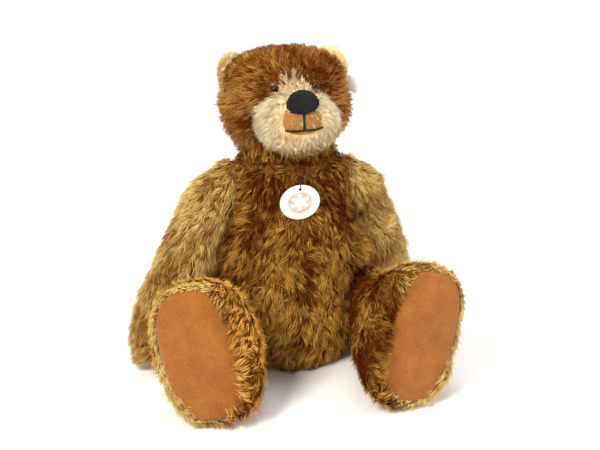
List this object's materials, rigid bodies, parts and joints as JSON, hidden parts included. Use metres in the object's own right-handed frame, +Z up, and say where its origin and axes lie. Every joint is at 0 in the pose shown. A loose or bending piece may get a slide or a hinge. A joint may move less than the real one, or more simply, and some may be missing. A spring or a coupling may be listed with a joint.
{
  "type": "teddy bear",
  "caption": "Sitting jointed teddy bear in long tousled mohair, with a cream muzzle, stitched nose and mouth, glass eyes, felt pads and a plain round swing tag.",
  "frame": {"origin": "on the floor under the middle of the sitting bear's bounding box", "axes": "+Z up, the bear faces -Y, its own left is +X"},
  "size_m": [0.2782, 0.234, 0.2733],
  "materials": {
    "brown_mohair": "long tousled chestnut pile",
    "golden_mohair": "long tousled golden pile",
    "cream_mohair": "cream pile, shorter than the rest",
    "tan_felt": "matted wool felt",
    "black_thread": "embroidery thread",
    "eye_glass": "dark polished glass",
    "white_card": "coated card",
    "white_tape": "woven tape",
    "hardboard": "pressed hardboard",
    "steel": "bright drawn wire and sheet"
  },
  "bodies": {
    "torso": {"torso": "brown_mohair", "chest_tag": "white_card", "tag_thread": "black_thread", "neck_body_disc": "hardboard", "neck_body_washer": "steel", "left_shoulder_body_disc": "hardboard", "left_shoulder_body_washer": "steel", "right_shoulder_body_disc": "hardboard", "right_shoulder_body_washer": "steel", "left_hip_body_disc": "hardboard", "left_hip_body_washer": "steel", "right_hip_body_disc": "hardboard", "right_hip_body_washer": "steel"},
    "head": {"head": "brown_mohair", "muzzle": "cream_mohair", "nose": "black_thread", "mouth_stitch": "black_thread", "left_eye": "eye_glass", "right_eye": "eye_glass", "left_ear": "golden_mohair", "right_ear": "golden_mohair", "ear_label": "white_tape", "neck_limb_disc": "hardboard", "neck_limb_washer": "steel", "neck_split_pin": "steel"},
    "left_arm": {"left_arm": "golden_mohair", "left_paw_pad": "tan_felt", "left_shoulder_limb_disc": "hardboard", "left_shoulder_limb_washer": "steel", "left_shoulder_split_pin": "steel"},
    "right_arm": {"right_arm": "golden_mohair", "right_paw_pad": "tan_felt", "right_shoulder_limb_disc": "hardboard", "right_shoulder_limb_washer": "steel", "right_shoulder_split_pin": "steel"},
    "left_leg": {"left_leg": "brown_mohair", "left_foot_pad": "tan_felt", "left_hip_limb_disc": "hardboard", "left_hip_limb_washer": "steel", "left_hip_split_pin": "steel"},
    "right_leg": {"right_leg": "brown_mohair", "right_foot_pad": "tan_felt", "right_hip_limb_disc": "hardboard", "right_hip_limb_washer": "steel", "right_hip_split_pin": "steel"}
  },
  "joints": [
    {"name": "neck_turn", "type": "hinge", "parent": "torso", "child": "head", "pos_m": [0.00895, 0.04454, 0.187], "axis": [0, 0.1564, 0.9877], "range_deg": [-50, 50]},
    {"name": "left_shoulder_turn", "type": "hinge", "parent": "torso", "child": "left_arm", "pos_m": [0.05095, 0.04054, 0.151], "axis": [0.9998, 0, 0.0174], "range_deg": [-10, 120]},
    {"name": "right_shoulder_turn", "type": "hinge", "parent": "torso", "child": "right_arm", "pos_m": [-0.03305, 0.04054, 0.151], "axis": [0.9877, 0, -0.1564], "range_deg": [0, 120]},
    {"name": "left_hip_turn", "type": "hinge", "parent": "torso", "child": "left_leg", "pos_m": [0.04895, 0.02254, 0.044], "axis": [0.9925, 0.1219, 0], "range_deg": [-5, 90]},
    {"name": "right_hip_turn", "type": "hinge", "parent": "torso", "child": "right_leg", "pos_m": [-0.03105, 0.02254, 0.044], "axis": [0.9816, -0.1908, 0], "range_deg": [0, 90]}
  ]
}
